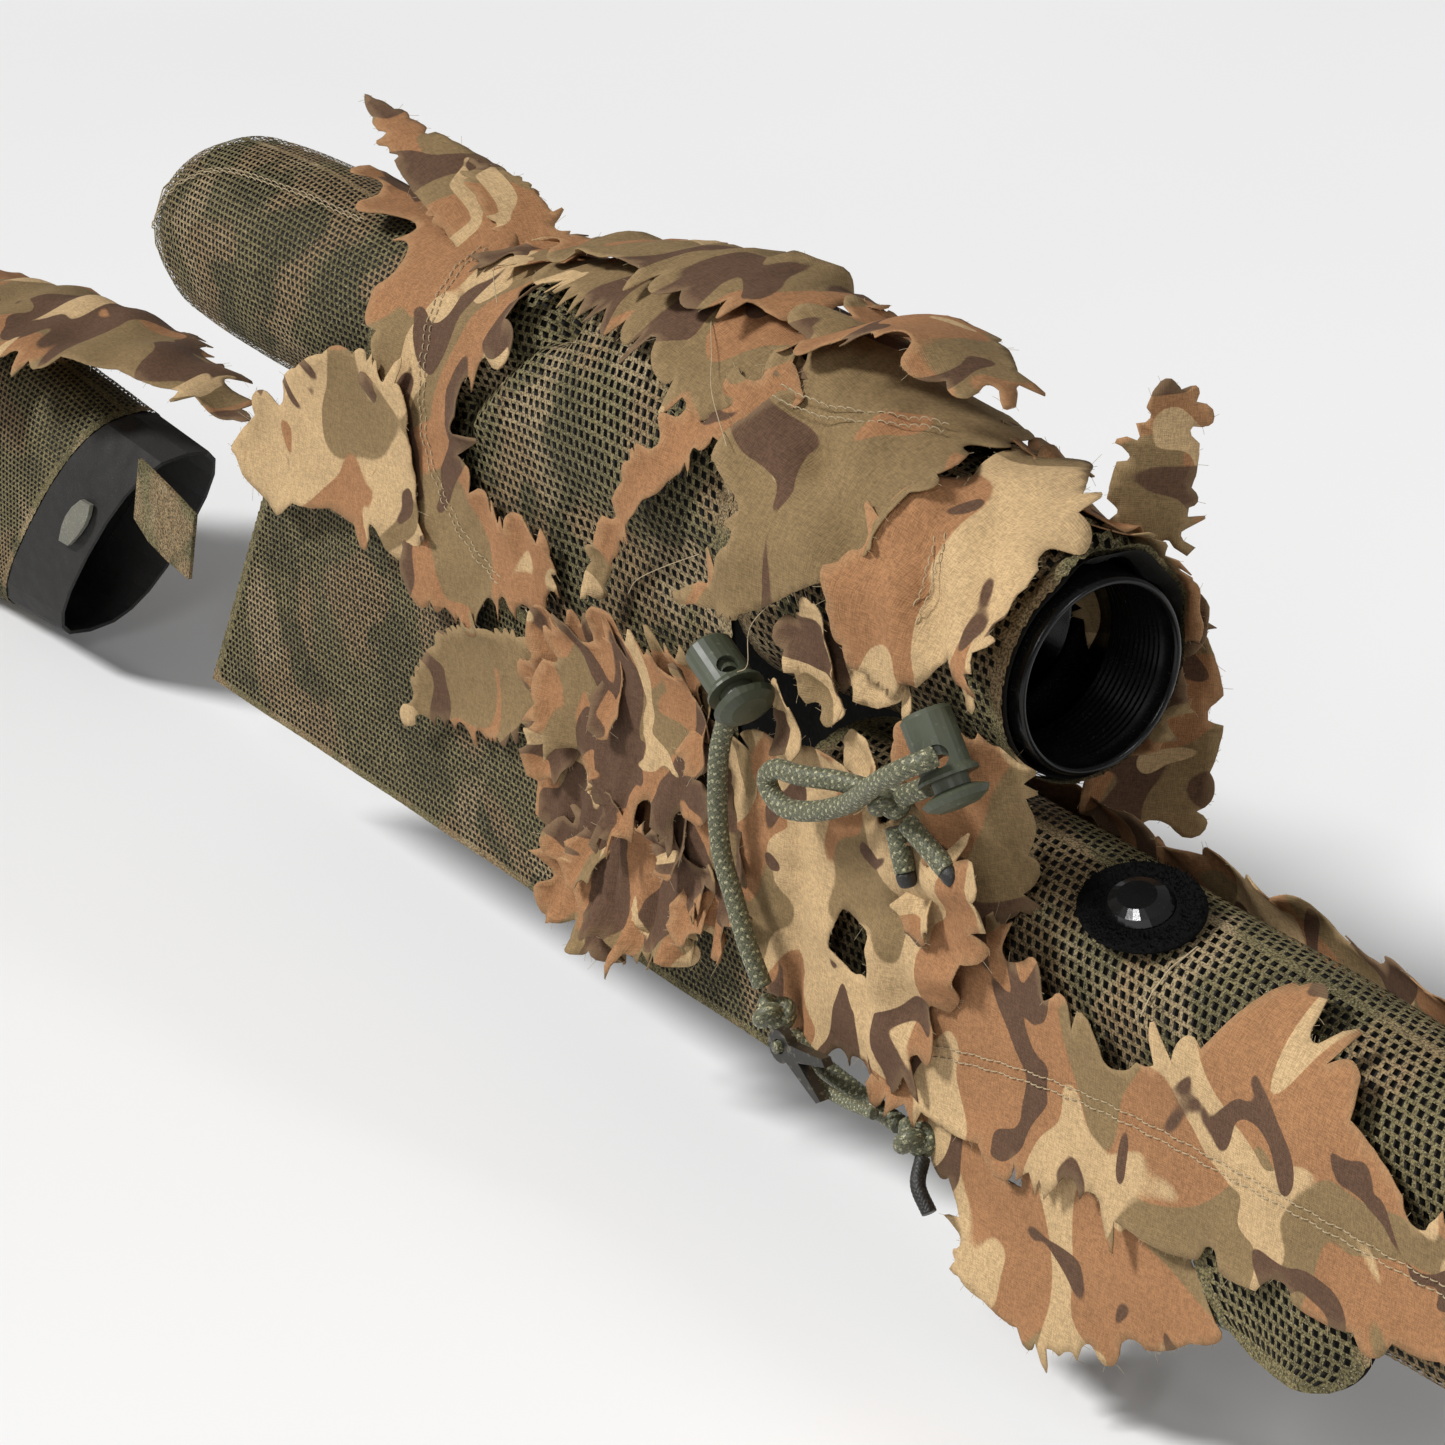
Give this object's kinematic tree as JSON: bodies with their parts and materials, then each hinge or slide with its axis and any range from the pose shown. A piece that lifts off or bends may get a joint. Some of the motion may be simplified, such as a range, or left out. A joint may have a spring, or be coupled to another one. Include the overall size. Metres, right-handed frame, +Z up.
{
  "type": "rifle ghillie cover",
  "caption": "Camouflage ghillie cover for a scoped rifle: mesh tunnel, side panels and fore-end sleeve with sewn leaf-cut cloth, drawcords and cord locks.",
  "frame": {"origin": "on the sight axis at the middle of the sight, where the cover seats on the sight", "axes": "+X forward along the sight axis towards the muzzle, +Z up, -Y the side with the cord locks"},
  "size_m": [1.0501, 0.1218, 0.3141],
  "materials": {
    "mesh": "open warp-knit mesh",
    "rust_cloth": "printed cloth, matte",
    "khaki_cloth": "printed cloth, matte",
    "cream_cloth": "printed cloth, matte",
    "brown_cloth": "printed cloth, matte",
    "cord": "diamond braid",
    "melted_cord": "melted and frayed cord end",
    "elastic": "flat woven elastic",
    "webbing": "woven webbing",
    "black_metal": "satin black",
    "felt": "fuzzy black loop cloth",
    "gloss_black": "glossy dome",
    "gunmetal": "dark gunmetal",
    "olive_plastic": "satin moulded",
    "spring_steel": "bare wire"
  },
  "bodies": {
    "cover": {"band_leaf_right": "cream_cloth", "collar_garland": "rust_cloth", "corner_knot": "cord", "crown_leaf": "rust_cloth", "felt_binding": "felt", "forend_cord": "cord", "forend_leaf_right": "cream_cloth", "forend_sleeve_left": "mesh", "forend_sleeve_right": "mesh", "forend_strip_left": "brown_cloth", "forend_strip_right": "rust_cloth", "front_hood": "mesh", "hem_cord": "cord", "hem_cord_tip": "melted_cord", "hem_knot": "cord", "hood_garland_left": "brown_cloth", "hood_garland_right": "cream_cloth", "hook_cord": "cord", "lock_a_barrel": "olive_plastic", "lock_a_spring": "spring_steel", "lock_b_barrel": "olive_plastic", "lock_b_spring": "spring_steel", "loop_cord": "cord", "loop_cord_back": "cord", "loop_tail_1": "cord", "loop_tail_2": "cord", "loop_tip_1": "melted_cord", "loop_tip_2": "melted_cord", "main_cord": "cord", "rear_corner_leaf": "cream_cloth", "rear_leaf_left": "rust_cloth", "rear_leaf_right": "khaki_cloth", "rear_sock": "mesh", "receiver_bridge": "mesh", "scope_saddle": "mesh", "shoulder_leaf_left": "brown_cloth", "shoulder_leaf_right": "khaki_cloth", "side_garland_left": "khaki_cloth", "side_garland_right": "rust_cloth", "side_panel_left": "mesh", "side_panel_right": "mesh", "side_strip_right": "cream_cloth", "snap_base": "black_metal", "snap_cap": "gloss_black", "stock_band": "elastic", "stock_leaf": "brown_cloth", "stock_sleeve": "mesh", "stock_tab": "webbing", "sunshade_tube": "black_metal", "tail_strap": "mesh", "tie_knot": "cord", "top_garland": "brown_cloth", "upright_leaf_front": "khaki_cloth", "upright_leaf_rear": "rust_cloth"},
    "plunger_a": {"lock_a_plunger": "olive_plastic"},
    "plunger_b": {"lock_b_plunger": "olive_plastic"},
    "hook": {"keeper_hook": "gunmetal"}
  },
  "joints": [
    {"name": "press_plunger_a", "type": "slide", "parent": "cover", "child": "plunger_a", "axis": [-0.9244, 0.1206, 0.3617], "range_m": [0, 0.003], "stiffness_N_per_m": 600, "springref_m": -0.003, "deforming": ["lock_a_spring"]},
    {"name": "press_plunger_b", "type": "slide", "parent": "cover", "child": "plunger_b", "axis": [-0.6221, 0.0201, 0.7827], "range_m": [0, 0.003], "stiffness_N_per_m": 600, "springref_m": -0.003, "deforming": ["lock_b_spring"]},
    {"name": "hook_swing", "type": "hinge", "parent": "cover", "child": "hook", "pos_m": [0.106, -0.053, -0.143], "axis": [0, 1, 0], "range_deg": [-30, 30]}
  ]
}
